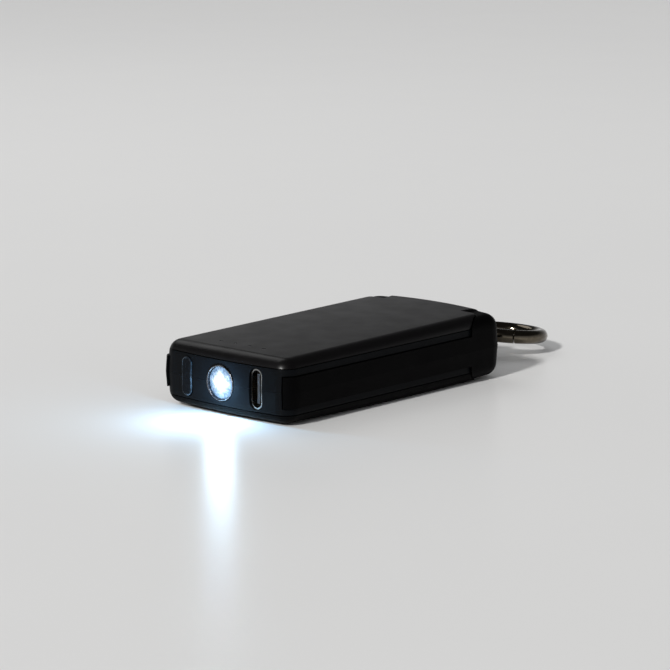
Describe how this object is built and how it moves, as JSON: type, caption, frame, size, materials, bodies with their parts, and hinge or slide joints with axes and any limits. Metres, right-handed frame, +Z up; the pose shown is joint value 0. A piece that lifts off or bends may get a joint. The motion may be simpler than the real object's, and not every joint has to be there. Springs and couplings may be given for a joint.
{
  "type": "keychain flashlight",
  "caption": "Flat rounded keychain light: lamp, charging socket and button in the front face, bumper frame round the sides, hinged swivel link and spring-gate ring at the rear.",
  "frame": {"origin": "under the middle of the case, on the flat that it rests on", "axes": "+Z up out of the top cover, +Y along the case towards the ring, so the lamp faces -Y; +X is the charging socket's side"},
  "size_m": [0.0394, 0.1094, 0.016],
  "materials": {
    "soft_touch": "fine soft-touch texture",
    "housing": "satin moulded",
    "frame": "fine moulded texture",
    "button": "satin moulded",
    "bezel": "polished",
    "lens_clear": "clear moulded optic",
    "led": "white package",
    "smoked_pipe": "smoked",
    "gunmetal": "polished gunmetal plate",
    "socket_steel": "nickel plated",
    "screw_steel": "zinc plated",
    "socket_plastic": "moulded",
    "switch": "moulded",
    "board_white": "white solder mask",
    "board_black": "dark solder mask",
    "chips": "moulded packages",
    "battery_foil": "pouch foil",
    "tape": "foam tape",
    "seal_rubber": "silicone",
    "wire_red": "insulated wire"
  },
  "bodies": {
    "case": {"top_cover": "soft_touch", "bottom_cover": "soft_touch", "top_cover_tape": "tape", "bottom_cover_tape": "tape", "upper_housing": "housing", "lower_housing": "housing", "housing_screws": "screw_steel", "bumper_frame": "frame", "lens_bezel": "bezel", "lens": "lens_clear", "lens_seal": "seal_rubber", "led_emitter": "led", "led_board": "board_white", "tact_switch": "switch", "usb_c_shell": "socket_steel", "usb_c_tongue": "socket_plastic", "usb_board": "board_black", "main_board": "board_black", "board_components": "chips", "gauge_leds": "led", "gauge_light_pipes": "smoked_pipe", "battery_cell": "battery_foil", "battery_pad": "tape", "battery_leads": "wire_red", "led_leads": "wire_red", "lug_pin": "screw_steel"},
    "button": {"power_button": "button"},
    "link": {"lug_link": "gunmetal"},
    "ring": {"swivel_barrel": "gunmetal", "snap_ring": "gunmetal"},
    "gate": {"snap_gate": "gunmetal", "gate_pin": "screw_steel", "gate_spring": "screw_steel"}
  },
  "joints": [
    {"name": "button_press", "type": "slide", "parent": "case", "child": "button", "axis": [0, 1, 0], "range_m": [0, 0.0005], "stiffness_N_per_m": 1500, "springref_m": -0.0004},
    {"name": "link_hinge", "type": "hinge", "parent": "case", "child": "link", "pos_m": [0, 0.0352, 0.00775], "axis": [1, 0, 0], "range_deg": [-20, 34]},
    {"name": "ring_swivel", "type": "hinge", "parent": "link", "child": "ring", "pos_m": [0, 0.04691, 0.00627], "axis": [0, 0.9921, -0.1253], "continuous": true},
    {"name": "gate_open", "type": "hinge", "parent": "ring", "child": "gate", "pos_m": [0.0082, 0.05898, 0.00475], "axis": [0, 0.1253, 0.9921], "range_deg": [0, 25], "stiffness_Nm_per_rad": 0.03, "springref_deg": -17.19}
  ]
}
